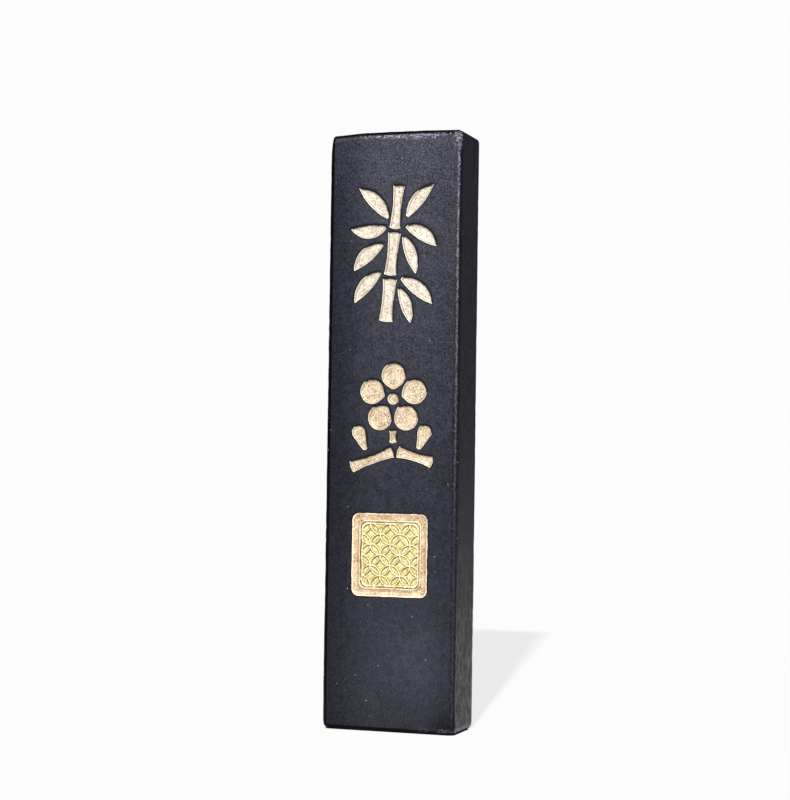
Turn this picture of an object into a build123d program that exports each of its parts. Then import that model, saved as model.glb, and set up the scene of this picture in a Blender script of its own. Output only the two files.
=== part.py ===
from build123d import *
from math import cos, radians, sin
import os

# Moulded ink stick: a pressed block of soot and glue, with gilded ornaments sunk in its front face.
#
# Millimetres, +Z up. The stick stands on its foot with its front towards -Y. The origin is the
# middle of the foot. Ornaments are drawn in front-face coordinates, (across, up): across runs
# along +X from the stick's centre line, and up runs along +Z from the foot.

# The block
STICK_WIDTH = 27.9
STICK_DEPTH = 12.6
STICK_HEIGHT = 120.0
TOP_CROWN = 0.2  # how far the middle of the top end stands above its corners
CORNER_RADIUS = 0.8  # round corners of the front outline
ARRIS_RADIUS = 0.5  # worn arrises round the front and back faces

# The gilded recesses
RECESS_DEPTH = 0.5
WALL_LEAN = 35.0  # degrees that a recess's wall leans in from square
GILT_THICKNESS = 0.16
STROKE_BULGE = 0.25  # how far the ends of a straight stroke bulge

# The bamboo sprig in the upper panel
STEM_FOOT = (-1.5, 81.9)
STEM_TOP = (0.9, 108.9)
STEM_WIDTHS = {"lower": 3.0, "middle": 2.7, "upper": 2.4}
STEM_WAIST = 0.3  # how far each side of an internode draws in at its middle
STEM_NODE_GAP = 1.0
LEAF_BASE = 0.6  # width of a leaf's blunt base
LEAF_BELLY = 0.42  # share of a leaf's length at which it is widest

# Each leaf: name, base, tip, width, and how far its middle bows to the left of base-to-tip
LEAVES = (
    ("top_left", (-1.3, 102.6), (-7.6, 108.7), 2.8, -0.5),
    ("top_right", (2.7, 102.8), (8.2, 109.1), 2.6, 0.5),
    ("upper_left", (-1.7, 100.7), (-9.2, 100.5), 2.8, 0.7),
    ("upper_right", (2.6, 100.8), (8.9, 96.7), 2.8, 0.6),
    ("hanging_right", (2.0, 98.8), (4.6, 91.3), 2.5, 0.4),
    ("middle_left", (-2.4, 97.3), (-8.4, 92.0), 2.8, -0.6),
    ("lower_left", (-2.8, 91.7), (-8.2, 85.5), 2.7, -0.6),
    ("lower_right", (1.7, 90.4), (8.2, 85.1), 2.8, 0.6),
    ("hanging_low", (1.2, 88.4), (3.6, 81.4), 2.4, 0.4),
)

# The plum blossom on its twig in the middle panel
BLOSSOM_CENTRE = (0.3, 66.3)
PETAL_COUNT = 5
PETAL_ROOT = (2.9, 1.0)  # distance from the blossom's centre, radius
PETAL_CROWN = (4.7, 2.5)
STAMEN_RADIUS = 1.15
TWIG_ENDS = ((-8.3, 52.6), (8.5, 53.8))
TWIG_BREAK = (0.9, 55.7)  # the top of the twig's bend, where its two lengths meet
TWIG_GAP = 1.3
TWIG_WIDTH = 2.4
TWIG_WAIST = 0.35
SPUR = ((0.4, 57.7), (0.3, 59.9))
SPUR_WIDTH = 1.6
SPUR_WAIST = 0.15
BUDS = {"left": ((-5.6, 56.6), (-6.9, 59.5)), "right": ((5.9, 56.8), (7.0, 59.7))}  # stalk, head
BUD_RADII = (0.6, 1.45)  # at its stalk, at its head

# The seal in the lower panel
SEAL_CENTRE = (-0.05, 35.1)
SEAL_SIZE = (15.9, 16.6)
SEAL_CORNER = 1.5
BORDER_WIDTH = 1.75
BORDER_DEPTH = 0.35
FIELD_CORNER = 1.15
FIELD_DEPTH = 0.65
RIB_WIDTH = 0.42
RIB_HEIGHT = 0.28
LATTICE_CIRCLES = 3  # whole circles across the field

FRONT = Plane(origin=(0, -STICK_DEPTH / 2, 0), x_dir=(1, 0, 0), z_dir=(0, -1, 0))


def on_normal(start, end, share, offset):
    """The point that share of the way from start to end, then offset to the left of that line."""
    along = Vector(*end) - Vector(*start)
    left = Vector(-along.Y, along.X).normalized()
    return Vector(*start) + along * share + left * offset


def leaf(base, tip, width, bow):
    """A brush-stroke leaf: a blunt base, a full belly and a drawn-out tip."""
    left_base = on_normal(base, tip, 0.0, LEAF_BASE / 2)
    right_base = on_normal(base, tip, 0.0, -LEAF_BASE / 2)
    left_belly = on_normal(base, tip, LEAF_BELLY, bow + width / 2)
    right_belly = on_normal(base, tip, LEAF_BELLY, bow - width / 2)
    with BuildLine() as outline:
        Line(right_base, left_base)
        ThreePointArc(left_base, left_belly, Vector(*tip))
        ThreePointArc(Vector(*tip), right_belly, right_base)
    return make_face(outline.line)


def bar(start, end, width, waist):
    """A straight stroke with waisted sides and bulging ends."""
    half = width / 2
    start_left = on_normal(start, end, 0.0, half)
    start_right = on_normal(start, end, 0.0, -half)
    end_left = on_normal(start, end, 1.0, half)
    end_right = on_normal(start, end, 1.0, -half)
    bulge = (Vector(*end) - Vector(*start)).normalized() * STROKE_BULGE
    with BuildLine() as outline:
        ThreePointArc(start_left, on_normal(start, end, 0.5, half - waist), end_left)
        ThreePointArc(end_left, Vector(*end) + bulge, end_right)
        ThreePointArc(end_right, on_normal(start, end, 0.5, waist - half), start_right)
        ThreePointArc(start_right, Vector(*start) - bulge, start_left)
    return make_face(outline.line)


def drop(root, root_radius, crown, crown_radius):
    """A petal or bud: the outline round a small circle at its root and a large one at its crown."""
    root = Vector(*root)
    crown = Vector(*crown)
    ahead = (crown - root).normalized()
    left = Vector(-ahead.Y, ahead.X)
    lean = (crown_radius - root_radius) / (crown - root).length
    level = (1 - lean * lean) ** 0.5
    to_left = left * level - ahead * lean
    to_right = left * -level - ahead * lean
    root_left = root + to_left * root_radius
    root_right = root + to_right * root_radius
    crown_left = crown + to_left * crown_radius
    crown_right = crown + to_right * crown_radius
    with BuildLine() as outline:
        Line(root_left, crown_left)
        ThreePointArc(crown_left, crown + ahead * crown_radius, crown_right)
        Line(crown_right, root_right)
        ThreePointArc(root_right, root - ahead * root_radius, root_left)
    return make_face(outline.line)


def bamboo_outlines():
    """The sprig's internodes and leaves, by name."""
    shapes = {}
    foot = Vector(*STEM_FOOT)
    top = Vector(*STEM_TOP)
    ahead = (top - foot).normalized()
    gaps = len(STEM_WIDTHS) - 1
    piece = ((top - foot).length - gaps * STEM_NODE_GAP) / len(STEM_WIDTHS)
    for i, (name, width) in enumerate(STEM_WIDTHS.items()):
        start = foot + ahead * (i * (piece + STEM_NODE_GAP))
        shapes[f"bamboo_stem_{name}"] = bar(start, start + ahead * piece, width, STEM_WAIST)
    for name, base, tip, width, bow in LEAVES:
        shapes[f"bamboo_leaf_{name}"] = leaf(base, tip, width, bow)
    return shapes


def plum_outlines():
    """The blossom's petals and stamens, and the twig with its spur and buds, by name."""
    shapes = {}
    across, up = BLOSSOM_CENTRE
    for i in range(PETAL_COUNT):
        turn = radians(90 + 360 * i / PETAL_COUNT)
        root, crown = (
            (across + distance * cos(turn), up + distance * sin(turn))
            for distance, _ in (PETAL_ROOT, PETAL_CROWN)
        )
        shapes[f"plum_petal_{i + 1}"] = drop(root, PETAL_ROOT[1], crown, PETAL_CROWN[1])
    shapes["plum_stamens"] = Pos(across, up) * Circle(STAMEN_RADIUS).face()
    left_end, right_end = TWIG_ENDS
    half_gap = Vector(TWIG_GAP / 2, 0)
    middle = Vector(*TWIG_BREAK)
    shapes["plum_twig_left"] = bar(left_end, middle - half_gap, TWIG_WIDTH, TWIG_WAIST)
    shapes["plum_twig_right"] = bar(middle + half_gap, right_end, TWIG_WIDTH, TWIG_WAIST)
    shapes["plum_spur"] = bar(*SPUR, SPUR_WIDTH, SPUR_WAIST)
    for name, (stalk, head) in BUDS.items():
        shapes[f"plum_bud_{name}"] = drop(stalk, BUD_RADII[0], head, BUD_RADII[1])
    return shapes


def sunk(outline, depth):
    """The tapered recess that an outline on the front face makes in the block."""
    return extrude(FRONT * outline, amount=-depth, taper=WALL_LEAN)


def lining(recess):
    """The coat of gilding on a recess's floor and walls."""
    return recess - Pos(0, -GILT_THICKNESS, 0) * recess


def block():
    """The pressed block before its recesses: a crowned top, round corners and worn arrises."""
    half = STICK_WIDTH / 2
    shoulder = STICK_HEIGHT - TOP_CROWN
    with BuildLine() as outline:
        Polyline((-half, shoulder), (-half, 0), (half, 0), (half, shoulder))
        ThreePointArc((half, shoulder), (0, STICK_HEIGHT), (-half, shoulder))
    solid = extrude(FRONT * make_face(outline.line), amount=-STICK_DEPTH)
    solid = fillet(solid.edges().filter_by(Axis.Y), CORNER_RADIUS)
    faces = solid.faces().filter_by(Axis.Y)
    return fillet([edge for face in faces for edge in face.edges()], ARRIS_RADIUS)


def rounded(width, height, corner):
    """A rounded rectangle on the seal's centre."""
    return Pos(*SEAL_CENTRE) * RectangleRounded(width, height, corner).face()


def lattice(width, height):
    """The seal's lattice of interlocking circles, drawn as narrow ribs inside a rim."""
    radius = min(width, height) / (2 * LATTICE_CIRCLES)
    ring = Circle(radius + RIB_WIDTH / 2) - Circle(radius - RIB_WIDTH / 2)
    reach = range(-LATTICE_CIRCLES - 1, LATTICE_CIRCLES + 2)
    centres = [
        Pos(SEAL_CENTRE[0] + i * radius, SEAL_CENTRE[1] + j * radius)
        for i in reach
        for j in reach
        if (i + j) % 2 == 0
    ]
    rings = Sketch() + [centre * ring for centre in centres]
    field = rounded(width, height, FIELD_CORNER)
    rim = field - rounded(width - 2 * RIB_WIDTH, height - 2 * RIB_WIDTH, FIELD_CORNER - RIB_WIDTH)
    return (rings & field) + rim


def seal():
    """The seal's recess, the bronze coat on its border and the yellow coat on its field."""
    width, height = SEAL_SIZE
    inner = (width - 2 * BORDER_WIDTH, height - 2 * BORDER_WIDTH)
    border_recess = sunk(rounded(width, height, SEAL_CORNER), BORDER_DEPTH)
    field_recess = extrude(FRONT * rounded(*inner, FIELD_CORNER), amount=-FIELD_DEPTH)
    border = lining(border_recess) - field_recess
    coat = FRONT.offset(GILT_THICKNESS - FIELD_DEPTH)
    field = extrude(coat * rounded(*inner, FIELD_CORNER), amount=-GILT_THICKNESS)
    field += extrude(coat * lattice(*inner), amount=RIB_HEIGHT)
    return border_recess + field_recess, {"seal_border": border, "seal_field": field}


def build():
    """Every piece, by node name."""
    ink_body = block()
    pieces = {}
    for name, outline in {**bamboo_outlines(), **plum_outlines()}.items():
        recess = sunk(outline, RECESS_DEPTH)
        ink_body -= recess
        pieces[name] = lining(recess)
    seal_recess, seal_pieces = seal()
    ink_body -= seal_recess
    return {"ink_body": ink_body, **pieces, **seal_pieces}


os.makedirs("parts", exist_ok=True)
for node, shape in build().items():
    export_step(shape, f"parts/{node}.step")
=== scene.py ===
"""Looks of a moulded ink stick: an uneven, worn block of pressed ink, its recesses gilded by brush.

Blender's metres, in the CAD model's frame: +Z up, the ornamented front towards -Y, the foot on
z = 0. Most shape work is done in millimetres on the front face, in (across, up) coordinates, with
depth counted inwards from the face. Each CAD outline is read back from its node's mesh.
"""

from math import cos, pi, radians, sin, sqrt, tan

import bpy
import numpy as np
from mathutils import Matrix, Vector
from mathutils.geometry import delaunay_2d_cdt
from mathutils.kdtree import KDTree


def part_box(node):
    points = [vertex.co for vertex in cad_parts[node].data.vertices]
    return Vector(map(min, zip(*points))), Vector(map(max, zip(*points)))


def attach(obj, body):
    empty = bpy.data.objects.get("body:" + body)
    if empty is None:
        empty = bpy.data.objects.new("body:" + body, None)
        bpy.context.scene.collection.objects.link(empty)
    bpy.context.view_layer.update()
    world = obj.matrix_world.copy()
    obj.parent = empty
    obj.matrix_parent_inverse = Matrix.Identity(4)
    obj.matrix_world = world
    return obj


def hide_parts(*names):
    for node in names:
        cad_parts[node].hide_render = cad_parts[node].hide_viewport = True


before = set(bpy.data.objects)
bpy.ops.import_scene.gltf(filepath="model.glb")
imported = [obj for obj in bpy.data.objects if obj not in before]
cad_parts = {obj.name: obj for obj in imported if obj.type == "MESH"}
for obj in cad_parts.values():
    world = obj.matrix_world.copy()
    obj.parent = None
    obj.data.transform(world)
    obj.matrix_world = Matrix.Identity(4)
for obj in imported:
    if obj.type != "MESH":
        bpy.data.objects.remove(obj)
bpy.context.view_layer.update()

MM = 0.001
LOW = np.array(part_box("ink_body")[0]) / MM
HIGH = np.array(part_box("ink_body")[1]) / MM
WIDTH, DEPTH, HEIGHT = HIGH - LOW
FACE_Y = LOW[1]
BACK_Y = HIGH[1]

# Recesses, in millimetres
RECESS_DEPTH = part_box("bamboo_stem_middle")[1][1] / MM - FACE_Y
BORDER_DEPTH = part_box("seal_border")[1][1] / MM - FACE_Y
FIELD_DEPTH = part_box("seal_field")[1][1] / MM - FACE_Y
WALL_LEAN = radians(35)  # away from square to the face
RIM_DROP = 0.035
RIM_SOFTNESS = 0.07
GILT = 0.05
GILT_FEATHER = 0.1  # width over which a film thins out at its rim
STEP_RUN = 0.1  # run of the step from the seal's border down to its field
POOL_RUN = 0.75  # reach of the paint that pooled against the seal's walls
HAIR = 0.004  # keeps a film off the ink under it
ON_LOOP = 1e-4  # a point nearer than this to a loop is on it
FLAT = 0.001  # a corner nearer than this to a plane is in it

# Seal relief, in millimetres above the film's floor
BEAD_HEIGHT = 0.13
BEAD_WIDTH = 0.34
RIB_WIDTH = 0.42
RIB_HEIGHT = 0.3
GROOVE_WIDTH = 0.16
LATTICE_CIRCLES = 3

# Mesh spacing, in millimetres
LOOP_STEP = 0.15
EDGE_STEP = 0.3
FACE_STEP = 0.6
FLOOR_STEP = 0.28
FIELD_STEP = 0.09
BACK_STEP = 1.2
RECESS_ROWS = (0.07, 0.15, 0.24, 0.34, -0.09, -0.24)  # rows of points inside and outside each rim
RECESS_GAP = 0.06
FLOOR_GAP = 0.12
FACE_ROWS = (0.2, 0.5)  # rows of points inside the face's own rim
FACE_GAP = 0.15
ARRIS_STEPS = 8
SIDE_STEPS = 20

# Unevenness, in millimetres
ARRIS_REACH = 0.45
WARP = 0.05
WARP_CELL = 14.0
DENT = 0.02
DENT_CELL = 2.6
CHIP = 0.12
CHIP_CELL = 1.3
WEAR_CELL = 9.0
CROWN = {-1: 0.32, 1: 0.1}  # how far the front eases back at its left and right edges
CROWN_REACH = {-1: 8.0, 1: 5.0}
WORN_CORNERS = (  # side, end, reach across, reach along, depth
    (-1, 1, 1.0, 4.5, 0.36),
    (-1, 1, 9.0, 1.5, 0.24),
    (-1, -1, 2.2, 2.2, 0.25),
    (1, -1, 1.8, 1.8, 0.12),
)
OUTLINE_WOBBLE = 0.045
OUTLINE_CELL = 1.1

# Dark ink along the recesses' upper right walls, painted shadow at the seal ribs' feet, and the reach of
# the pale rims and dark halo, in millimetres
# the way up and to the right across the face, near the key light's way across it
UPPER_RIGHT = np.array((0.5, 0.86))
BARE_WIDTH = 0.34  # width of the ink-coloured strip along a recess's upper right walls
SEAL_BARE_WIDTH = 0.1
BARE_CELL = 0.5
RIM_REACH = 0.22

# Ink; its lengths and places are in millimetres
INK_DEEP = (0.0018, 0.0018, 0.0032, 1)
INK_BODY = (0.0085, 0.0086, 0.0140, 1)
# near-black ink: painted shade at the foot and beside the right arris, the dark halo round the gilding,
# the darkened arrises, the smudge, and bare ink in the gilt
INK_SHADE_AND_STAIN = (0.0015, 0.0015, 0.0018, 1)
# pale ink: rubbed marks, and the painted highlight inside the right arris and at its top right corner
INK_RUBBED_AND_HIGHLIGHT = (0.36, 0.36, 0.44, 1)
SIDE_STREAK = (0.0150, 0.0145, 0.0210, 1)
DUST = (0.32, 0.32, 0.32, 1)
INK_GLOSS = (0.80, 0.805, 0.996)  # tint of its reflections at full gloss
INK_ROUGHNESS = (0.31, 0.39)
SIDE_ROUGHER = (0.03, 0.27)  # least and most roughness added in the sides' streaks
SIDE_GLOSS = 0.52
LEFT_DULL = (12.0, 0.42)  # width of a duller margin, and the gloss left at its edge
LEFT_TOP_GLOSS = 0.64
RIGHT_DULL = (8.0, 0.7)
FOOT_DULL = (9.0, 0.72)
MIDDLE_DULL = (44.0, 22.0, 0.85)  # height and reach of a duller band, and the gloss left in it
RUBBED_SPOT = (5.5, 15.0)  # middle of a glossier place
RUBBED_RADIUS = 13.0
RUBBED_GLOSS = 1.34
GRAIN_CONTRAST = (1.2, 4.0)  # at the foot and at the top
GRAIN_SHARES = (0.8, 0.14, 0.06)  # of fine grain, long streaks and blotches
PALE_CORNER = (5.0, 1.5)  # how far below the top the pale corner, rubbed wear with a painted highlight, starts and is full
FOOT_LINE = (0.5, 1.2)  # the scuffed line's lower and upper heights
FOOT_SCUFFS = (0.12, 0.85)  # on the front and on the sides
ARRIS_SMOOTHER = 0.18  # how much less rough the arrises are
PORE_HEIGHT = 0.05
SMUDGE = (7.6, 21.3)
SMUDGE_RADIUS = 2.0
# middle and reach of the darker ink round the foot's right corner
FOOT_DARK_SPOT = (12.5, 0.5)
FOOT_DARK_SPOT_RADIUS = 8.0
WORN_HIGHLIGHT_LINE = 0.48  # how far in from the right side the pale line lies: rubbed wear with a painted highlight
TOP_LINE = 0.75  # how far below the top the ink is rubbed pale

# Gilding: pale, body and deep tones
PALE_GILT = ((0.74, 0.69, 0.60, 1), (0.49, 0.43, 0.345, 1), (0.19, 0.125, 0.07, 1))
TAN_GILT = ((0.76, 0.68, 0.55, 1), (0.46, 0.36, 0.235, 1), (0.15, 0.088, 0.04, 1))
ROSE_GILT = ((0.88, 0.77, 0.59, 1), (0.455, 0.305, 0.165, 1), (0.20, 0.11, 0.045, 1))
YELLOW_GILT = ((0.86, 0.78, 0.52, 1), (0.60, 0.495, 0.18, 1), (0.25, 0.185, 0.045, 1))
# dark olive of the grooves, and of the painted shadow at the seal ribs' feet
GROOVE = (0.030, 0.021, 0.007, 1)
GILT_METAL = 0.5

# Camera: lengths in the stick's heights, angles in degrees, lens and sensor in millimetres
CAMERA_AZIMUTH = 18.82
CAMERA_PITCH = 1.837
CAMERA_ROLL = 0.83
CAMERA_DISTANCE = 3.331
CAMERA_HEIGHT = 0.445
CAMERA_SHIFT = -0.01145
CAMERA_LENS = 88.8
CAMERA_SENSOR = 36.0

# Studio
KEY_AZIMUTH = 10.8
KEY_ELEVATION = 27.0
KEY_POWER = 4.6
KEY_COLOR = (1.0, 0.99, 0.97)
KEY_ANGLE = 1.6
BOX_AZIMUTH = -19.0
BOX_ELEVATION = 24.0
BOX_POWER = 1.25
BOX_COLOR = (0.93, 0.96, 1.0)
BOX_ANGLE = 14.0
TABLE_FRONT = 0.32
TABLE_BACK = 0.42
TABLE_SIDE = 3.0
FLOOR_GLOW = 0.815
FOOT_CORNER = 1.6  # corner radius of the table's unlit patch under the stick, in millimetres
FOOT_SHADE = (0.45, 0.1)  # how far inside the stick's outline that patch is dark, and how far it ends
FLOOR_ALBEDO = 0.22
FLOOR_TINT = (1.0, 1.0, 1.0, 1.0)
BACKDROP = (0.975, 0.975, 0.978, 1.0)
ROOM_DARK = 0.004
ROOM_FRONT = (0.10, 0.10, 0.105, 1.0)
ROOM_FRONT_WAY = (-0.45, -0.75, 0.48)
ROOM_FRONT_EDGE = -0.3  # cosine of the angle from its way at which the paler wall fades out
ROOM_RIGHT = (0.115, 0.111, 0.132, 1.0)
ROOM_RIGHT_WAY = (0.62, 0.78, 0.0)
ROOM_RIGHT_EDGE = 0.45

BAMBOO = sorted(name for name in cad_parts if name.startswith("bamboo"))
PLUM = sorted(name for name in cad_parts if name.startswith("plum"))


# ---------------------------------------------------------------- numbers on points and loops


def smooth(t):
    """A share held between 0 and 1 that eases in and out."""
    t = np.clip(t, 0.0, 1.0)
    return t * t * (3 - 2 * t)


def noise(points, cell, seed):
    """Smooth noise from -1 to 1 at each row of points, with features about cell across."""
    size = 32
    table = np.random.default_rng(seed).uniform(-1, 1, (size, size, size))
    scaled = np.asarray(points, float) / cell + 100.0
    base = np.floor(scaled).astype(int)
    share = smooth(scaled - base)
    total = np.zeros(len(scaled))
    for corner in np.ndindex(2, 2, 2):
        weight = np.prod(np.where(corner, share, 1 - share), axis=1)
        i, j, k = ((base + corner) % size).T
        total += weight * table[i, j, k]
    return total


def on_face(points):
    """Front-face points as rows of x, y, z in millimetres, on the face's plane."""
    return np.column_stack((points[:, 0], np.full(len(points), FACE_Y), points[:, 1]))


def to_loop(points, loop):
    """Each point's distance to a closed loop, positive inside, and its unit direction towards it.

    On a counter-clockwise loop itself, the direction is the one out of it.
    """
    best = np.full(len(points), np.inf)
    toward = np.zeros((len(points), 2))
    inside = np.zeros(len(points), bool)
    for (x0, z0), (dx, dz) in zip(loop, np.roll(loop, -1, axis=0) - loop):
        rx = points[:, 0] - x0
        rz = points[:, 1] - z0
        t = np.clip((rx * dx + rz * dz) / (dx * dx + dz * dz), 0.0, 1.0)
        gap = np.column_stack((t * dx - rx, t * dz - rz))
        length = np.hypot(*gap.T)
        nearer = length < best
        best[nearer] = length[nearer]
        toward[nearer] = gap[nearer] / np.maximum(length[nearer], ON_LOOP)[:, None]
        toward[nearer & (length < ON_LOOP)] = np.array((dz, -dx)) / np.hypot(dx, dz)
        if dz:
            crosses = (rz >= 0) != (rz >= dz)
            inside ^= crosses & (rx < rz * dx / dz)
    return np.where(inside, best, -best), toward


def area(loop):
    """The area inside a loop, negative where it runs clockwise."""
    x, z = loop.T
    return 0.5 * np.sum(x * np.roll(z, -1) - z * np.roll(x, -1))


def plane_loops(node, y):
    """The loops round a CAD node's flat faces in one plane across Y, counter-clockwise, largest first."""
    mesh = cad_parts[node].data
    mesh.calc_loop_triangles()
    co = np.array([v.co for v in mesh.vertices]) / MM
    keys = [tuple(np.round(row, 4)) for row in co]
    edges = {}
    for triangle in mesh.loop_triangles:
        corners = [keys[i] for i in triangle.vertices]
        if any(abs(corner[1] - y) > FLAT for corner in corners):
            continue
        for a, b in zip(corners, corners[1:] + corners[:1]):
            if (b, a) in edges:
                del edges[(b, a)]
            else:
                edges[(a, b)] = True
    following = dict(edges.keys())
    loops = []
    while following:
        first, here = following.popitem()
        chain = [first]
        while here != first:
            chain.append(here)
            here = following.pop(here)
        loop = np.array([(x, z) for x, _, z in chain])
        loops.append(loop if area(loop) > 0 else loop[::-1])
    return sorted(loops, key=area, reverse=True)


def resampled(loop, step):
    """The same loop with points about step apart, keeping its corners."""
    ahead = np.roll(loop, -1, axis=0) - loop
    behind = np.roll(ahead, 1, axis=0)
    turn = np.arctan2(
        behind[:, 0] * ahead[:, 1] - behind[:, 1] * ahead[:, 0], np.sum(behind * ahead, axis=1)
    )
    corners = list(np.flatnonzero(np.abs(turn) > radians(25))) or [0]
    points = []
    for here, there in zip(corners, corners[1:] + [corners[0] + len(loop)]):
        run = loop[np.arange(here, there + 1) % len(loop)]
        lengths = np.concatenate(([0], np.cumsum(np.hypot(*np.diff(run, axis=0).T))))
        count = max(2, round(lengths[-1] / step))
        at = np.linspace(0, lengths[-1], count + 1)[:-1]
        points += list(zip(np.interp(at, lengths, run[:, 0]), np.interp(at, lengths, run[:, 1])))
    return np.array(points)


def outward(loop):
    """The unit normal at each point of a counter-clockwise loop, pointing out of it."""
    along = np.roll(loop, -1, axis=0) - np.roll(loop, 1, axis=0)
    normal = np.column_stack((along[:, 1], -along[:, 0]))
    return normal / np.linalg.norm(normal, axis=1)[:, None]


def wobbled(loop, seed):
    """A loop as a hand-cut mould has it, a little uneven."""
    shift = OUTLINE_WOBBLE * noise(on_face(loop), OUTLINE_CELL, seed)
    return loop + outward(loop) * shift[:, None]


def beside(loop, distance):
    """A row of points at that distance inside a loop, or outside where it is negative."""
    points = loop - outward(loop) * distance
    kept = np.abs(to_loop(points, loop)[0] - distance) < 0.12 * abs(distance)
    return points[kept]


def grid(low, high, step):
    """Points in a triangular pattern over a rectangle."""
    rise = step * sqrt(3) / 2
    rows = []
    for i, z in enumerate(np.arange(low[1], high[1], rise)):
        x = np.arange(low[0] + (i % 2) * step / 2, high[0], step)
        rows.append(np.column_stack((x, np.full(len(x), z))))
    return np.concatenate(rows)


def spaced(kept, more, gap):
    """The points of more that are at least gap from every point in kept."""
    tree = KDTree(len(kept))
    for i, (x, z) in enumerate(kept):
        tree.insert((x, z, 0), i)
    tree.balance()
    far = [tree.find((x, z, 0))[2] >= gap for x, z in more]
    return more[np.array(far, bool)]


def triangulated(loops, loose):
    """Points and triangles over the first loop, with every loop as edges, and each loop's rows."""
    points = np.concatenate(loops + [loose])
    edges = []
    start = 0
    for loop in loops:
        ids = range(start, start + len(loop))
        edges += list(zip(ids, [*ids[1:], ids[0]]))
        start += len(loop)
    flat = [Vector((x, z)) for x, z in points]
    made, _, faces, sources, _, _ = delaunay_2d_cdt(flat, edges, [], 0, 1e-7)
    row = {old: new for new, olds in enumerate(sources) for old in olds}
    made = np.array([(v.x, v.y) for v in made])
    faces = np.array([face for face in faces if len(face) == 3])
    a, b, c = (made[faces[:, i]] for i in range(3))
    turned = (b[:, 0] - a[:, 0]) * (c[:, 1] - a[:, 1]) < (b[:, 1] - a[:, 1]) * (c[:, 0] - a[:, 0])
    faces[turned] = faces[turned][:, ::-1]
    start = 0
    rows = []
    for loop in loops:
        rows.append(np.array([row[i] for i in range(start, start + len(loop))]))
        start += len(loop)
    return made, faces, rows


# ---------------------------------------------------------------- the front face's relief


def recess_depth(distance, depth):
    """Depth of the ink at a signed distance in from a recess's rim: soft rim, leaning wall, floor."""
    outside = RIM_DROP * np.exp(np.minimum(distance, 0) / RIM_SOFTNESS)
    inside = RIM_DROP + (depth - RIM_DROP) * smooth(distance / (depth * tan(WALL_LEAN)))
    return np.where(distance > 0, inside, outside)


def uneven(points, normals, arris):
    """Points moved inwards as a pressed, dried and handled block is, most of all on its arrises."""
    shift = WARP * (0.5 + 0.5 * noise(points, WARP_CELL, 1))
    shift += DENT * (0.5 + 0.5 * noise(points, DENT_CELL, 2))
    worn = 0.35 + 0.65 * smooth(0.5 + 0.9 * noise(points, WEAR_CELL, 3))
    chips = smooth(0.2 + 0.9 * noise(points, CHIP_CELL, 4))
    fine = 0.5 + 0.5 * noise(points, CHIP_CELL / 3, 5)
    shift += arris * worn * (CHIP * chips + CHIP / 4 * fine)
    for side, end, across, along, depth in WORN_CORNERS:
        from_side = side * WIDTH / 2 - points[:, 0]
        from_end = (HEIGHT if end > 0 else 0.0) - points[:, 2]
        shift += depth * smooth(1 - np.hypot(from_side / across, from_end / along))
    moved = points - normals * shift[:, None]
    moved[:, 1] += eased_back(points)
    return moved


def eased_back(points):
    """How far the crowned front's points lie behind its plane; the depths behind it share the shift."""
    drop = np.zeros(len(points))
    for side, depth in CROWN.items():
        from_edge = WIDTH / 2 - side * points[:, 0]
        drop += depth * np.clip(1 - from_edge / CROWN_REACH[side], 0, 1) ** 2
    return drop * np.clip(points[:, 1] / FACE_Y, 0, 1)


def sunk_points(points, depth):
    """Front-face points at a depth, on the uneven face, in metres."""
    flat = on_face(points)
    moved = uneven(flat, np.tile((0.0, -1.0, 0.0), (len(flat), 1)), np.zeros(len(flat)))
    moved[:, 1] += depth
    return moved * MM


def ornament_loops():
    """Each small ornament's outline, resampled and a little uneven, by CAD node."""
    loops = {}
    for seed, name in enumerate(BAMBOO + PLUM, start=20):
        loops[name] = wobbled(resampled(plane_loops(name, FACE_Y)[0], LOOP_STEP), seed)
    return loops


def seal_loops():
    """The seal's outline and the outline of its field."""
    outer = resampled(plane_loops("seal_border", FACE_Y)[0], 2 * LOOP_STEP)
    field = resampled(plane_loops("seal_field", FACE_Y + FIELD_DEPTH)[0], LOOP_STEP)
    return wobbled(outer, 60), wobbled(field, 61)


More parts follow.
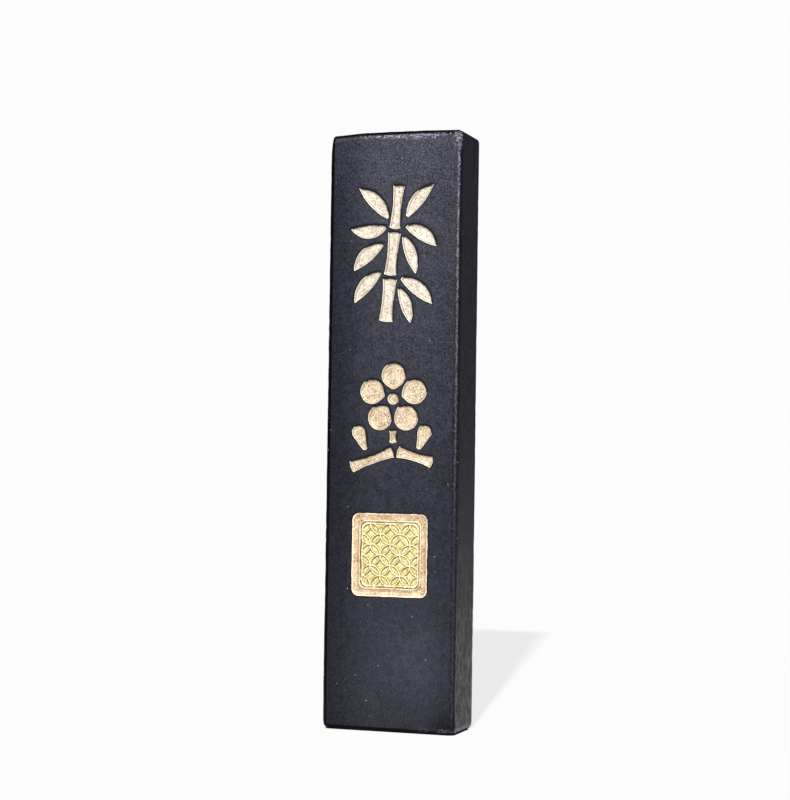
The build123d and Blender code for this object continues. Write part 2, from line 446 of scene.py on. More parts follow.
class Face:
    """The front face's triangles, shared by the ink under the gilding and by the gilding."""

    def __init__(self):
        self.rim = resampled(plane_loops("ink_body", FACE_Y)[0], EDGE_STEP)
        self.arris_radius = self.rim[:, 0].min() - LOW[0]
        self.loops = ornament_loops()
        self.seal, self.field = seal_loops()
        loops = [self.rim, self.seal, self.field, *self.loops.values()]
        kept = np.concatenate(loops)
        for loop in loops[1:]:
            for distance in RECESS_ROWS:
                kept = np.concatenate((kept, spaced(kept, beside(loop, distance), RECESS_GAP)))
            low, high = loop.min(axis=0), loop.max(axis=0)
            inner = grid(low, high, FLOOR_STEP)
            inner = inner[to_loop(inner, loop)[0] > 0]
            kept = np.concatenate((kept, spaced(kept, inner, FLOOR_GAP)))
        for distance in FACE_ROWS:
            kept = np.concatenate((kept, spaced(kept, beside(self.rim, distance), FACE_GAP)))
        face = grid(self.rim.min(axis=0), self.rim.max(axis=0), FACE_STEP)
        face = face[to_loop(face, self.rim)[0] > FACE_STEP / 2]
        kept = np.concatenate((kept, spaced(kept, face, FACE_STEP * 0.55)))
        loose = kept[sum(len(loop) for loop in loops) :]
        self.points, self.triangles, rows = triangulated(loops, loose)
        self.rim_rows, self.seal_rows, self.field_rows = rows[:3]
        self.rows = dict(zip(self.loops, rows[3:]))
        self.middles = self.points[self.triangles].mean(axis=1)

    def near(self, loop, reach=1.0):
        """Which points are near a loop's box, so that the rest needn't be measured."""
        low, high = loop.min(axis=0) - reach, loop.max(axis=0) + reach
        return np.all((self.points > low) & (self.points < high), axis=1)

    def depth(self):
        """Depth of the ink below the face at every point."""
        depth = np.zeros(len(self.points))
        for loop in self.loops.values():
            near = self.near(loop)
            distance, _ = to_loop(self.points[near], loop)
            depth[near] = np.maximum(depth[near], recess_depth(distance, RECESS_DEPTH))
        near = self.near(self.seal)
        distance, _ = to_loop(self.points[near], self.seal)
        inner, _ = to_loop(self.points[near], self.field)
        step = (FIELD_DEPTH - BORDER_DEPTH) * smooth(inner / STEP_RUN)
        depth[near] = np.maximum(depth[near], recess_depth(distance, BORDER_DEPTH) + step)
        return depth

    def beside_gilding(self):
        """How near each point is to a gilded recess, from 1 at its rim down to 0."""
        nearest = np.full(len(self.points), np.inf)
        for loop in [self.seal, *self.loops.values()]:
            near = self.near(loop)
            distance, _ = to_loop(self.points[near], loop)
            nearest[near] = np.minimum(nearest[near], -distance)
        return rim_weight(np.maximum(nearest, 0))

    def inside(self, outer, hole=None):
        """The points and triangles inside one loop and outside another, and their old rows."""
        taken = to_loop(self.middles, outer)[0] > 0
        if hole is not None:
            taken &= to_loop(self.middles, hole)[0] < 0
        rows, triangles = np.unique(self.triangles[taken], return_inverse=True)
        return self.points[rows], triangles.reshape(-1, 3), rows


# ---------------------------------------------------------------- meshes


def make_object(name, points, faces, **attributes):
    """A smooth-shaded mesh object from points in metres, with a number per point in each attribute."""
    mesh = bpy.data.meshes.new(name)
    mesh.from_pydata(points.tolist(), [], [list(map(int, face)) for face in faces])
    mesh.polygons.foreach_set("use_smooth", [True] * len(mesh.polygons))
    for label, values in attributes.items():
        layer = mesh.attributes.new(label, "FLOAT", "POINT")
        layer.data.foreach_set("value", np.asarray(values, np.float32))
    mesh.set_sharp_from_angle(angle=radians(50))
    mesh.validate()
    made = bpy.data.objects.new(name, mesh)
    bpy.context.scene.collection.objects.link(made)
    return made


def compacted(points, faces):
    """The points that faces use, the faces on their new rows, and the points' old rows."""
    ends = np.cumsum([len(face) for face in faces])[:-1]
    used, flat = np.unique(np.concatenate([np.ravel(face) for face in faces]), return_inverse=True)
    return points[used], np.split(flat, ends), used


def rim_weight(distance):
    """How near a point is to a rim, from 1 on it down to 0."""
    return np.exp(-((distance / RIM_REACH) ** 2))


def closed_film(name, points, triangles, top, bottom, shared, **attributes):
    """A closed film over triangles: its top and bottom depths, meeting at the shared points."""
    count = len(points)
    lower = np.arange(count) + count
    lower[shared] = np.flatnonzero(shared)
    above = sunk_points(points, top)
    below = sunk_points(points, bottom)
    faces = [*triangles, *lower[triangles][:, ::-1]]
    edges = set()
    for a, b, c in triangles.tolist():
        edges |= {(a, b), (b, c), (c, a)}
    for a, b in sorted(edges):
        if (b, a) not in edges and not (shared[a] and shared[b]):
            corners = [a, lower[a], lower[b], b]
            faces.append([v for i, v in enumerate(corners) if v != corners[i - 1]])
    points, faces, rows = compacted(np.concatenate((above, below)), faces)
    doubled = {label: np.tile(values, 2)[rows] for label, values in attributes.items()}
    return make_object(name, points, faces, **doubled)


def coverage(points, distance, toward, bare=BARE_WIDTH):
    """How much of each point near a rim shows gilt: a ragged strip along the recess's upper right walls
    shows ink colour.
    """
    toward_upper_right = smooth((toward @ UPPER_RIGHT - 0.15) / 0.5)
    ragged = bare * (1 + 0.5 * noise(on_face(points), BARE_CELL, 9))
    return 1 - toward_upper_right * smooth(2 * (1 - distance / ragged))


def gilt_fill(face, name):
    """A small ornament's coat of gold on the floor and walls of its recess."""
    loop = face.loops[name]
    points, triangles, _ = face.inside(loop)
    distance, toward = to_loop(points, loop)
    distance = np.maximum(distance, 0)
    ink = recess_depth(distance, RECESS_DEPTH)
    feather = smooth(distance / GILT_FEATHER)
    return closed_film(
        f"gilt_{name}",
        points,
        triangles,
        top=ink - GILT * feather,
        bottom=ink - HAIR * feather,
        shared=distance < ON_LOOP,
        # rim: where the gilt is painted pale, a painted highlight along the recess's rim
        rim=rim_weight(distance),
        cover=coverage(points, distance, toward),
        groove=np.zeros(len(points)),
    )


def seal_border(face):
    """The seal's flat border, with a bead where it meets the field; its rim and bead are painted pale as
    a highlight.
    """
    points, triangles, _ = face.inside(face.seal, face.field)
    distance, toward = to_loop(points, face.seal)
    beyond = -to_loop(points, face.field)[0]
    distance = np.maximum(distance, 0)
    ink = recess_depth(distance, BORDER_DEPTH)
    pooled = RIM_DROP + (BORDER_DEPTH - RIM_DROP) * smooth(distance / POOL_RUN)
    feather = smooth(distance / GILT_FEATHER)
    bead = BEAD_HEIGHT * smooth(1.3 - np.abs(beyond - BEAD_WIDTH / 2) / (BEAD_WIDTH / 2))
    # painted highlight along the bead, uneven in strength
    bead_highlight = 0.5 + 0.4 * noise(on_face(points), 1.2, 8)
    return closed_film(
        "gilt_seal_border",
        points,
        triangles,
        top=np.minimum(ink, pooled) - GILT * feather - bead,
        bottom=ink - HAIR * feather,
        shared=distance < ON_LOOP,
        rim=np.maximum(rim_weight(distance / 1.2), bead_highlight * bead / BEAD_HEIGHT),
        cover=coverage(points, distance, toward, SEAL_BARE_WIDTH),
        groove=0.6 * smooth(1 - np.abs(beyond - BEAD_WIDTH * 1.25) / GROOVE_WIDTH),
    )


def lattice(points, low, high):
    """Distance to the seal's nearest rib, and the way to it: circles on every second node of a grid."""
    centre = (low + high) / 2
    radius = min(high - low) / (2 * LATTICE_CIRCLES)
    nearest = np.full(len(points), np.inf)
    toward = np.zeros((len(points), 2))
    reach = range(-LATTICE_CIRCLES - 1, LATTICE_CIRCLES + 2)
    for i in reach:
        for j in reach:
            if (i + j) % 2 == 0:
                arm = points - centre - np.array((i, j)) * radius
                length = np.maximum(np.hypot(*arm.T), 1e-9)
                gap = radius - length
                nearer = np.abs(gap) < nearest
                nearest[nearer] = np.abs(gap[nearer])
                toward[nearer] = (arm * (np.sign(gap) / length)[:, None])[nearer]
    return nearest, toward


def ridge(distance):
    """Height of a rounded rib at a distance from its middle."""
    return RIB_HEIGHT * smooth(1.35 * (1 - distance / (RIB_WIDTH / 2)))


def seal_field(face):
    """The seal's sunk field, lined up the step at its edge and moulded with its lattice of ribs, the ribs
    painted pale as a highlight and dark at their feet, strongest on the side away from the light as
    painted shadow.
    """
    low, high = face.field.min(axis=0), face.field.max(axis=0)
    x, z = np.meshgrid(np.arange(low[0], high[0], FIELD_STEP), np.arange(low[1], high[1], FIELD_STEP))
    inner = np.column_stack((x.ravel(), z.ravel()))
    inner = inner[to_loop(inner, face.field)[0] > FIELD_STEP / 2]
    points, triangles, _ = triangulated([face.field], inner)
    distance = np.maximum(to_loop(points, face.field)[0], 0)
    floor = BORDER_DEPTH + (FIELD_DEPTH - BORDER_DEPTH) * smooth(distance / STEP_RUN)
    nearest, toward = lattice(points, low, high)
    rib = ridge(nearest) * smooth(distance / STEP_RUN - 0.5)
    rim = ridge(np.abs(distance - RIB_WIDTH * 0.8))
    raised = np.maximum(rib, rim)
    top = floor - GILT - raised
    # dark lines at the ribs' feet, strongest on their lower left side away from the light: painted
    # shadow; and a dark line round the field's edge
    foot = smooth(1.2 * (1 - np.abs(nearest - RIB_WIDTH * 0.55) / GROOVE_WIDTH))
    toward_upper_right = smooth((toward @ UPPER_RIGHT + 0.35) / 0.7)
    step = smooth(1.5 * (1 - distance / GROOVE_WIDTH))
    groove = np.maximum(foot * (0.35 + 0.65 * toward_upper_right) * (distance > RIB_WIDTH * 1.2), step)
    return closed_film(
        "gilt_seal_field",
        points,
        triangles,
        top=top,
        bottom=np.maximum(floor - HAIR, top + HAIR),
        shared=np.zeros(len(points), bool),
        # painted highlight on the raised ribs
        rim=smooth(raised / RIB_HEIGHT - 0.3),
        cover=np.ones(len(points)),
        groove=groove,
    )


def body_section(radius):
    """The section swept round the face's rim: how far out, how deep, its normal and arris weight."""
    rows = []
    for i in range(ARRIS_STEPS + 1):
        turn = pi / 2 * i / ARRIS_STEPS
        weight = arris_weight(abs(turn - pi / 4) * radius)
        rows.append((radius * sin(turn), radius * (1 - cos(turn)), sin(turn), -cos(turn), weight))
    for i in range(1, SIDE_STEPS):
        run = (DEPTH - 2 * radius) * i / SIDE_STEPS
        nearer = min(run, DEPTH - 2 * radius - run)
        rows.append((radius, radius + run, 1.0, 0.0, arris_weight(pi / 4 * radius + nearer)))
    for out, depth, across, along, weight in reversed(rows[: ARRIS_STEPS + 1]):
        rows.append((out, DEPTH - depth, across, -along, weight))
    return rows


def arris_weight(distance):
    """How much a point at that distance along the surface from an arris's middle takes its wear."""
    return np.exp(-((distance / ARRIS_REACH) ** 2))


def ink_block(face):
    """The pressed block: the face with its recesses, the worn arrises, the sides and the back."""
    count = len(face.points)
    facing = np.tile((0.0, -1.0, 0.0), (count, 1))
    to_rim = to_loop(face.points, face.rim)[0]
    arris = arris_weight(pi / 4 * face.arris_radius + np.maximum(to_rim, 0))
    points = uneven(on_face(face.points), facing, arris)
    points[:, 1] += face.depth()
    layers, weights = [points], [arris]
    faces = list(face.triangles)
    ring = face.rim_rows
    rim = face.rim
    out = outward(rim)
    size = len(rim)
    start = count
    for reach, depth, across, along, weight in body_section(face.arris_radius)[1:]:
        flat = rim + out * reach
        placed = np.column_stack((flat[:, 0], np.full(size, FACE_Y + depth), flat[:, 1]))
        normal = np.column_stack((out[:, 0] * across, np.full(size, along), out[:, 1] * across))
        layers.append(uneven(placed, normal, np.full(size, weight)))
        weights.append(np.full(size, weight))
        after = np.arange(start, start + size)
        quads = np.column_stack((ring, after, np.roll(after, -1), np.roll(ring, -1)))
        faces += list(quads)
        ring = after
        start += size
    back, triangles, rows = triangulated([rim], back_points(rim))
    normal = np.tile((0.0, 1.0, 0.0), (len(back), 1))
    flat = np.column_stack((back[:, 0], np.full(len(back), BACK_Y), back[:, 1]))
    weight = arris_weight(pi / 4 * face.arris_radius + np.maximum(to_loop(back, rim)[0], 0))
    target = np.arange(start, start + len(back))
    target[rows[0]] = ring
    layers.append(uneven(flat, normal, weight))
    weights.append(weight)
    faces += list(target[triangles][:, ::-1])
    points, faces, rows = compacted(np.concatenate(layers), faces)
    # the ink darkened in a halo round each gilded recess
    stain = np.zeros(sum(len(layer) for layer in layers))
    stain[:count] = face.beside_gilding()
    arris = np.concatenate(weights)
    return make_object("pressed_ink_block", points * MM, faces, arris=arris[rows], stain=stain[rows])


def back_points(rim):
    """Points over the plain back."""
    near = beside(rim, EDGE_STEP)
    wide = grid(rim.min(axis=0), rim.max(axis=0), BACK_STEP)
    wide = wide[to_loop(wide, rim)[0] > BACK_STEP / 2]
    return np.concatenate((near, spaced(near, wide, BACK_STEP / 2)))


# ---------------------------------------------------------------- materials


def new_tree(name):
    """A material with an empty node tree."""
    material = bpy.data.materials.new(name)
    material.use_nodes = True
    material.node_tree.nodes.clear()
    return material, material.node_tree


def put(tree, kind, inputs=(), **settings):
    """A node with its settings, and its inputs set from values or linked from sockets."""
    made = tree.nodes.new(kind)
    for key, value in settings.items():
        setattr(made, key, value)
    for key, value in dict(inputs).items():
        if isinstance(value, bpy.types.NodeSocket):
            tree.links.new(value, made.inputs[key])
        else:
            made.inputs[key].default_value = value
    return made


def calc(tree, operation, first, second=0.0):
    """The result of a Math node."""
    return put(tree, "ShaderNodeMath", {0: first, 1: second}, operation=operation).outputs[0]


def spread(tree, value, low, high, to_low=0.0, to_high=1.0):
    """A value mapped smoothly from one range to another, and held at its ends."""
    inputs = {"Value": value, 1: low, 2: high, 3: to_low, 4: to_high}
    return put(tree, "ShaderNodeMapRange", inputs, interpolation_type="SMOOTHSTEP").outputs[0]


def blended(tree, share, first, second):
    """Two colours mixed."""
    inputs = {"Factor": share, "A": first, "B": second}
    made = put(tree, "ShaderNodeMix", {}, data_type="RGBA")
    for key, value in inputs.items():
        socket = next(s for s in made.inputs if s.name == key and s.enabled)
        if isinstance(value, bpy.types.NodeSocket):
            tree.links.new(value, socket)
        else:
            socket.default_value = value
    return next(s for s in made.outputs if s.enabled)


def millimetres(tree, stretch=(1, 1, 1), offset=(0, 0, 0)):
    """The object's coordinates in millimetres, stretched along its axes."""
    metres = put(tree, "ShaderNodeTexCoord").outputs["Object"]
    scale = [factor / MM for factor in stretch]
    inputs = {"Vector": metres, "Scale": scale, "Location": offset}
    return put(tree, "ShaderNodeMapping", inputs).outputs[0]


def cloud(tree, per_mm, detail=2.0, roughness=0.5, stretch=(1, 1, 1), offset=(0, 0, 0)):
    """Noise from 0 to 1 with so many features per millimetre."""
    inputs = {
        "Vector": millimetres(tree, stretch, offset),
        "Scale": per_mm,
        "Detail": detail,
        "Roughness": roughness,
    }
    return put(tree, "ShaderNodeTexNoise", inputs).outputs[0]


def bumped(tree, height, distance_mm, strength, normal=None):
    """A bump of a height from 0 to 1 over so many millimetres."""
    inputs = {"Height": height, "Distance": distance_mm * MM, "Strength": strength}
    if normal is not None:
        inputs["Normal"] = normal
    return put(tree, "ShaderNodeBump", inputs).outputs[0]


def flecks(tree, cell_mm, radius_mm, offset, chosen):
    """Small scattered dots: 1 on a dot, in a chosen share of the cells."""
    inputs = {"Vector": millimetres(tree, offset=offset), "Scale": 1 / cell_mm}
    cells = put(tree, "ShaderNodeTexVoronoi", inputs)
    dot = spread(tree, cells.outputs["Distance"], 0.5 * radius_mm / cell_mm, radius_mm / cell_mm, 1, 0)
    pick = put(tree, "ShaderNodeSeparateColor", {"Color": cells.outputs["Color"]}).outputs[0]
    taken = calc(tree, "LESS_THAN", pick, chosen)
    return calc(tree, "MULTIPLY", dot, taken)


def finished(tree, **inputs):
    """A Principled surface with these inputs, linked to the output."""
    surface = put(tree, "ShaderNodeBsdfPrincipled", inputs)
    put(tree, "ShaderNodeOutputMaterial", {"Surface": surface.outputs[0]})


def grey(value):
    """An opaque grey."""
    return (value, value, value, 1.0)


def product(tree, first, *others):
    """Several numbers multiplied."""
    for other in others:
        first = calc(tree, "MULTIPLY", first, other)
    return first


def total(tree, first, *others):
    """Several numbers added."""
    for other in others:
        first = calc(tree, "ADD", first, other)
    return first


def largest(tree, first, *others):
    """The largest of several numbers."""
    for other in others:
        first = calc(tree, "MAXIMUM", first, other)
    return first


def stored(tree, name):
    """One of the mesh's own numbers."""
    return put(tree, "ShaderNodeAttribute", attribute_name=name).outputs["Fac"]


def nearness(tree, middle, radius):
    """How near the surface is to a place on the front: 1 at it, 0 from a radius away."""
    inputs = {0: millimetres(tree), 1: (middle[0], FACE_Y, middle[1])}
    away = put(tree, "ShaderNodeVectorMath", inputs, operation="DISTANCE").outputs["Value"]
    return spread(tree, away, radius, 0.0)


def gloss_share(tree, across, up, front):
    """How glossy the ink is: most in the middle of its moulded front, least on its sides and back."""
    at_top = spread(tree, up, HEIGHT * 0.8, HEIGHT * 0.95, 0.0, LEFT_TOP_GLOSS)
    left = largest(tree, spread(tree, across, LOW[0], LOW[0] + LEFT_DULL[0], LEFT_DULL[1], 1.0), at_top)
    right = spread(tree, across, HIGH[0], HIGH[0] - RIGHT_DULL[0], RIGHT_DULL[1], 1.0)
    foot = spread(tree, up, 0.0, FOOT_DULL[0], FOOT_DULL[1], 1.0)
    height, reach, share = MIDDLE_DULL
    off_middle = calc(tree, "ABSOLUTE", calc(tree, "SUBTRACT", up, height))
    middle = spread(tree, off_middle, 0.0, reach, share, 1.0)
    rubbed = spread(tree, nearness(tree, RUBBED_SPOT, RUBBED_RADIUS), 0.0, 1.0, 1.0, RUBBED_GLOSS)
    moulded = product(tree, left, right, foot, middle, rubbed)
    return put(tree, "ShaderNodeMix", {"Factor": front, "A": SIDE_GLOSS, "B": moulded}).outputs[0]


def right_margin(tree, across, up, front):
    """The front's margin beside its right arris, and that arris, up to just below the top."""
    beside_it = spread(tree, across, HIGH[0] - 2.0, HIGH[0] - 1.2)
    return product(tree, beside_it, spread(tree, up, HEIGHT - 0.5, HEIGHT - 0.8), front)


def worn_highlight_line(tree, across, inward):
    """The crooked pale line just inside the front's right arris: rubbed wear with a painted highlight."""
    depth = calc(tree, "SUBTRACT", inward, FACE_Y)
    crooked = product(tree, calc(tree, "SUBTRACT", cloud(tree, 1.4, 2.0), 0.5), 0.8)
    past = calc(tree, "SUBTRACT", total(tree, across, depth, crooked), HIGH[0] - WORN_HIGHLIGHT_LINE)
    return spread(tree, calc(tree, "ABSOLUTE", past), 0.27, 0.12)


def top_line(tree, across, up, patchy):
    """The line rubbed below the top arris, wider towards the right."""
    below = calc(tree, "SUBTRACT", HEIGHT, up)
    reach = product(tree, spread(tree, across, -6.0, 10.0, 0.35, 1.1), patchy)
    lower = calc(tree, "SUBTRACT", below, total(tree, reach, TOP_LINE))
    return product(
        tree,
        spread(tree, below, TOP_LINE - 0.15, TOP_LINE + 0.15),
        spread(tree, lower, 0.45, 0.0),
        spread(tree, across, -11.0, -3.0, 0.0, 0.55),
    )


def scuffs_and_highlight(tree, across, inward, up, front):
    """Where the ink is painted pale: rubbed wear with a painted highlight inside its right arris and at
    its top right corner, and rubbed marks below its top and at the foot.
    """
    broken = spread(tree, cloud(tree, 2.8, 3.0, 0.7, offset=(3, 1, 4)), 0.46, 0.56)
    patchy = spread(tree, cloud(tree, 0.5, 2.0, offset=(5, 2, 0)), 0.4, 0.6, 0.2, 1.0)
    at_right = right_margin(tree, across, up, front)
    # the painted highlight inside the right arris fades downwards
    higher = spread(tree, up, HEIGHT * 0.2, HEIGHT, 0.02, 0.5)
    flaked = total(tree, 0.1, product(tree, broken, 0.65))
    edge = product(tree, worn_highlight_line(tree, across, inward), at_right, higher, flaked)
    starts, full = PALE_CORNER
    corner = product(tree, spread(tree, up, HEIGHT - starts, HEIGHT - full), at_right, broken, 0.6)
    top = product(tree, top_line(tree, across, up, patchy), front, broken)
    lower, upper = FOOT_LINE
    below = spread(tree, up, upper + 0.2, upper - 0.2)
    above = spread(tree, up, lower - 0.1, lower + 0.1)
    low = product(tree, below, above, spread(tree, across, 2.0, HIGH[0]))
    foot = product(tree, low, broken, patchy, spread(tree, front, 0.0, 1.0, *reversed(FOOT_SCUFFS)))
    return largest(tree, edge, corner, top, foot)


def grime_and_shade(tree, across, up, front):
    """Dark patches on the front: painted shade in a strip beside its right arris, darker lower down;
    darker ink round a corner at the foot; and a smudge of dirt.
    """
    inner = spread(tree, across, HIGH[0] - 1.7, HIGH[0] - 1.0)
    outer = spread(tree, across, HIGH[0] - 0.5, HIGH[0] - 0.8)
    lower = spread(tree, up, HEIGHT, HEIGHT * 0.5, 0.1, 0.6)
    patchy = spread(tree, cloud(tree, 2.0, 2.0), 0.4, 0.55, 0.4, 1.0)
    # painted shade: the dark strip beside the right arris and its painted highlight
    strip = product(tree, inner, outer, lower, front, patchy)
    # darker ink round the foot's right corner
    corner = product(tree, nearness(tree, FOOT_DARK_SPOT, FOOT_DARK_SPOT_RADIUS), front, 0.7)
    mottled = spread(tree, cloud(tree, 0.9, 2.0), 0.4, 0.6, 0.75, 1.0)
    spot = spread(tree, nearness(tree, SMUDGE, SMUDGE_RADIUS), 0.0, 1.0)
    smudge = product(tree, spot, mottled, 0.42)
    return largest(tree, strip, corner, smudge)


def ink_material():
    """Pressed ink: blue-black and fine-grained, with faint streaks, dust and worn, darkened arrises;
    painted shade at its foot and beside its right arris, and a painted highlight along that arris.
    """
    material, tree = new_tree("pressed_ink")
    across, inward, up = put(tree, "ShaderNodeSeparateXYZ", {0: millimetres(tree)}).outputs
    front = spread(tree, inward, FACE_Y + 0.9, FACE_Y + 0.4)
    off_front = calc(tree, "SUBTRACT", 1.0, front)
    gloss = gloss_share(tree, across, up, front)
    grain = cloud(tree, 3.3, 3.0, 0.8, stretch=(1, 1, 0.7))
    streaks = cloud(tree, 3.0, 3.0, 0.7, stretch=(1, 1, 0.1))
    blotches = cloud(tree, 0.3, 3.0)
    layers = zip((grain, streaks, blotches), GRAIN_SHARES)
    texture = total(tree, *(product(tree, layer, share) for layer, share in layers))
    coarser = spread(tree, up, HEIGHT * 0.1, HEIGHT, *GRAIN_CONTRAST)

    # painted contact shadow: the ink's lowest half millimetre is darkened and loses its sheen
    contact_shade = spread(tree, up, 0.55, 0.35)
    # darkening from the halo round the gilding, the dark patches and the painted contact shadow
    dull = largest(tree, stored(tree, "stain"), grime_and_shade(tree, across, up, front), contact_shade)
    off_right = calc(tree, "SUBTRACT", 1.0, product(tree, right_margin(tree, across, up, front), 0.85))
    dark_arris = product(tree, spread(tree, stored(tree, "arris"), 0.02, 0.15), off_right, 0.95)
    dark = largest(tree, dull, dark_arris)
    bright = calc(tree, "SUBTRACT", 1.0, dark)

    brushed = cloud(tree, 1.1, 4.0, 0.8, stretch=(1, 1, 0.35))
    color = blended(tree, spread(tree, texture, 0.4, 0.6), INK_DEEP, INK_BODY)
    color = blended(tree, product(tree, spread(tree, brushed, 0.42, 0.58), off_front), color, SIDE_STREAK)
    # near black where darkened: painted shade at the foot and beside the right arris, the halo round the
    # gilding, the arrises and the smudge
    color = blended(tree, product(tree, dark, 0.9), color, INK_SHADE_AND_STAIN)
    # pale rubbed marks, and the painted highlight inside the right arris
    color = blended(tree, scuffs_and_highlight(tree, across, inward, up, front), color, INK_RUBBED_AND_HIGHLIGHT)
    dust = product(tree, flecks(tree, cell_mm=2.3, radius_mm=0.17, offset=(0, 0, 0), chosen=0.4), 0.55)
    lint = product(tree, flecks(tree, cell_mm=1.1, radius_mm=0.1, offset=(7, 3, 5), chosen=0.25), 0.3)
    color = blended(tree, largest(tree, dust, lint), color, DUST)

    side = product(tree, off_front, spread(tree, brushed, 0.4, 0.6, *SIDE_ROUGHER))
    patchy = spread(tree, cloud(tree, 0.9, 3.0), 0.3, 0.7, *INK_ROUGHNESS)
    smoother = product(tree, dark_arris, ARRIS_SMOOTHER, spread(tree, up, 0.5, 3.0))
    rough = calc(tree, "SUBTRACT", total(tree, patchy, side, product(tree, dull, 0.45)), smoother)

    varied = product(tree, calc(tree, "SUBTRACT", texture, 0.5), coarser)
    sheen = product(tree, gloss, bright, calc(tree, "EXPONENT", varied))
    tint = put(tree, "ShaderNodeVectorMath", {0: INK_GLOSS, "Scale": sheen}, operation="SCALE")

    coarse = bumped(tree, cloud(tree, 0.9, 2.0), 0.04, 0.4)
    pores = cloud(tree, 3.0, 4.0, 0.8, stretch=(1, 1, 0.7))
    finished(
        tree,
        **{
            "Base Color": color,
            "Roughness": rough,
            "Normal": bumped(tree, pores, PORE_HEIGHT, 0.9, coarse),
            "Specular Tint": tint.outputs[0],
        },
    )
    return material


def gilt_material(name, pale, body, deep):
    """Gold powder paint: flakes of three tones in a dull binder, with painted glints, pale rims and
    raised ribs as a painted highlight, and ink where bare.
    """
    material, tree = new_tree(name)
    grain = cloud(tree, 3.4, 3.0, 0.8)
    patches = cloud(tree, 0.55, 2.0)
    color = blended(tree, spread(tree, grain, 0.38, 0.54), deep, body)
    color = blended(tree, product(tree, spread(tree, patches, 0.4, 0.65), 0.25), color, pale)
    # painted glints: pale dots in the colour
    glint = product(tree, flecks(tree, cell_mm=0.45, radius_mm=0.17, offset=(1, 2, 3), chosen=0.5), 0.85)
    color = blended(tree, glint, color, pale)
    # painted highlight: pale along the rims and on the seal's bead and ribs
    color = blended(tree, product(tree, stored(tree, "rim"), 0.8), color, pale)
    pit = product(tree, flecks(tree, cell_mm=0.5, radius_mm=0.16, offset=(5, 1, 8), chosen=0.4), 0.75)
    color = blended(tree, pit, color, deep)
    # dark grooves, with painted shadow at the seal ribs' feet
    groove = product(tree, stored(tree, "groove"), spread(tree, grain, 0.3, 0.5, 0.6, 1.0))
    color = blended(tree, groove, color, GROOVE)
    cover = total(tree, stored(tree, "cover"), product(tree, grain, 0.4))
    covered = spread(tree, cover, 0.55, 0.8)
    color = blended(tree, covered, INK_SHADE_AND_STAIN, color)
    rough = spread(tree, cloud(tree, 3.1, 2.0), 0.3, 0.7, 0.38, 0.6)
    coarse = bumped(tree, cloud(tree, 1.4, 2.0), 0.05, 0.6)
    finished(
        tree,
        **{
            "Base Color": color,
            "Roughness": rough,
            "Normal": bumped(tree, grain, 0.08, 0.9, coarse),
            "Metallic": product(tree, covered, GILT_METAL),
        },
    )
    return material


# ---------------------------------------------------------------- studio and camera


def make_camera():
    """A long lens a little to the right of the front, at less than half the stick's height."""
    turn, pitch, roll = radians(CAMERA_AZIMUTH), radians(CAMERA_PITCH), radians(CAMERA_ROLL)
    level = Vector((-sin(turn), cos(turn), 0))
    right = Vector((cos(turn), sin(turn), 0))
    up = Vector((0, 0, 1))
    height = HEIGHT * MM
    eye = -level * CAMERA_DISTANCE * height + right * CAMERA_SHIFT * height
    eye += up * CAMERA_HEIGHT * height
    ahead = level * cos(pitch) + up * sin(pitch)
    above = -level * sin(pitch) + up * cos(pitch)
    camera_x = right * cos(roll) + above * sin(roll)
    camera_y = -right * sin(roll) + above * cos(roll)
    turned = Matrix((camera_x, camera_y, -ahead)).transposed().to_4x4()
    data = bpy.data.cameras.new("camera")
    data.lens = CAMERA_LENS
    data.sensor_width = CAMERA_SENSOR
    data.clip_start = 0.01
    data.clip_end = 100.0
    camera = bpy.data.objects.new("camera", data)
    camera.matrix_world = Matrix.Translation(eye) @ turned
    bpy.context.scene.collection.objects.link(camera)
    bpy.context.scene.camera = camera


def light(name, azimuth, elevation, power, color, angle):
    """A distant lamp, azimuth degrees right of the front, as wide in the sky as its angle."""
    data = bpy.data.lights.new(name, "SUN")
    data.energy = power
    data.color = color
    data.angle = radians(angle)
    turn, rise = radians(azimuth), radians(elevation)
    way = Vector((sin(turn) * cos(rise), -cos(turn) * cos(rise), sin(rise)))
    lamp = bpy.data.objects.new(name, data)
    lamp.location = way
    lamp.rotation_mode = "QUATERNION"
    lamp.rotation_quaternion = way.to_track_quat("Z", "Y")
    bpy.context.scene.collection.objects.link(lamp)
    return lamp


def past_foot(tree):
    """1 on the table beyond the stick's foot and 0 under it, where no light of the room comes."""
    core = (WIDTH / 2 - FOOT_CORNER, DEPTH / 2 - FOOT_CORNER, 0)
    arm = put(tree, "ShaderNodeVectorMath", {0: millimetres(tree)}, operation="ABSOLUTE").outputs[0]
    arm = put(tree, "ShaderNodeVectorMath", {0: arm, 1: core}, operation="SUBTRACT").outputs[0]
    arm = put(tree, "ShaderNodeVectorMath", {0: arm, 1: (0, 0, 0)}, operation="MAXIMUM").outputs[0]
    away = put(tree, "ShaderNodeVectorMath", {0: arm}, operation="LENGTH").outputs["Value"]
    dark, lit = FOOT_SHADE
    return spread(tree, away, FOOT_CORNER - dark, FOOT_CORNER - lit)


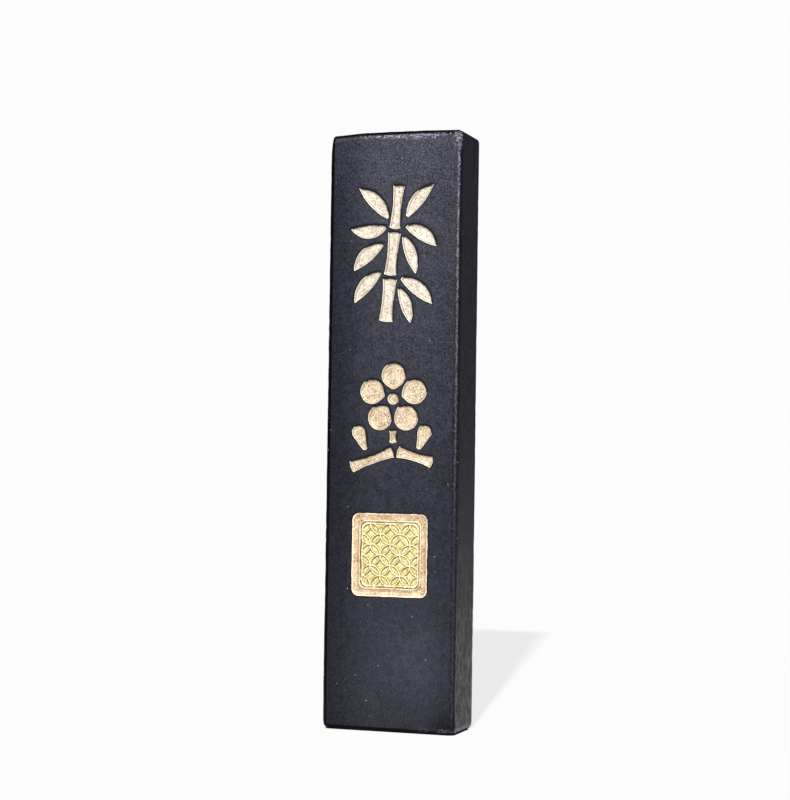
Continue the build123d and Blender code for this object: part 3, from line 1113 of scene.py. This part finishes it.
def make_table():
    """A pale table that glows a little, as white acrylic in a bright room does."""
    material, tree = new_tree("table")
    strength = product(tree, past_foot(tree), FLOOR_GLOW)
    glow = put(tree, "ShaderNodeEmission", {"Color": FLOOR_TINT, "Strength": strength})
    matt = put(tree, "ShaderNodeBsdfDiffuse", {"Color": grey(FLOOR_ALBEDO)})
    both = put(tree, "ShaderNodeAddShader", {0: glow.outputs[0], 1: matt.outputs[0]})
    put(tree, "ShaderNodeOutputMaterial", {"Surface": both.outputs[0]})
    mesh = bpy.data.meshes.new("table")
    corners = [(x, y, 0) for y in (-TABLE_FRONT, TABLE_BACK) for x in (-TABLE_SIDE, TABLE_SIDE)]
    mesh.from_pydata(corners, [], [(0, 1, 3, 2)])
    mesh.materials.append(material)
    table = bpy.data.objects.new("table", mesh)
    bpy.context.scene.collection.objects.link(table)
    return table


def unlit_by(lamp, thing):
    """Keeps a lamp's light off one object."""
    spared = bpy.data.collections.new(f"spared_by_{lamp.name}")
    spared.objects.link(thing)
    lamp.light_linking.receiver_collection = spared
    spared.collection_objects[0].light_linking.link_state = "EXCLUDE"


def make_world():
    """White behind the stick, and a dark room with a paler front and right wall for it to reflect."""
    world = bpy.data.worlds.new("studio")
    world.use_nodes = True
    tree = world.node_tree
    tree.nodes.clear()
    way = put(tree, "ShaderNodeTexCoord").outputs["Generated"]
    room = grey(ROOM_DARK)
    walls = ((ROOM_FRONT, ROOM_FRONT_WAY, ROOM_FRONT_EDGE), (ROOM_RIGHT, ROOM_RIGHT_WAY, ROOM_RIGHT_EDGE))
    for color, facing, edge in walls:
        dot = put(tree, "ShaderNodeVectorMath", {0: way, 1: facing}, operation="DOT_PRODUCT")
        room = blended(tree, spread(tree, dot.outputs["Value"], edge, 1.0), room, color)
    room = put(tree, "ShaderNodeBackground", {"Color": room, "Strength": 1.0})
    white = put(tree, "ShaderNodeBackground", {"Color": BACKDROP, "Strength": 1.0})
    seen = put(tree, "ShaderNodeLightPath").outputs["Is Camera Ray"]
    mixed = put(tree, "ShaderNodeMixShader", {0: seen, 1: room.outputs[0], 2: white.outputs[0]})
    put(tree, "ShaderNodeOutputWorld", {"Surface": mixed.outputs[0]})
    bpy.context.scene.world = world


# ---------------------------------------------------------------- the whole scene


def place(piece, material, slot, *nodes):
    """Gives a piece its material and its place in the CAD model."""
    piece.data.materials.append(material)
    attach(piece, "root")
    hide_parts(*nodes)


make_camera()
table = make_table()
make_world()
light("key", KEY_AZIMUTH, KEY_ELEVATION, KEY_POWER, KEY_COLOR, KEY_ANGLE)
softbox = light("softbox", BOX_AZIMUTH, BOX_ELEVATION, BOX_POWER, BOX_COLOR, BOX_ANGLE)
unlit_by(softbox, table)
bpy.context.scene.view_settings.view_transform = "Standard"

face = Face()
place(ink_block(face), ink_material(), "pressed_ink", "ink_body")
pale_gilt = gilt_material("pale_gilt", *PALE_GILT)
for name in BAMBOO:
    place(gilt_fill(face, name), pale_gilt, "pale_gilt", name)
tan_gilt = gilt_material("tan_gilt", *TAN_GILT)
for name in PLUM:
    place(gilt_fill(face, name), tan_gilt, "tan_gilt", name)
place(seal_border(face), gilt_material("rose_gilt", *ROSE_GILT), "rose_gilt", "seal_border")
place(seal_field(face), gilt_material("yellow_gilt", *YELLOW_GILT), "yellow_gilt", "seal_field")
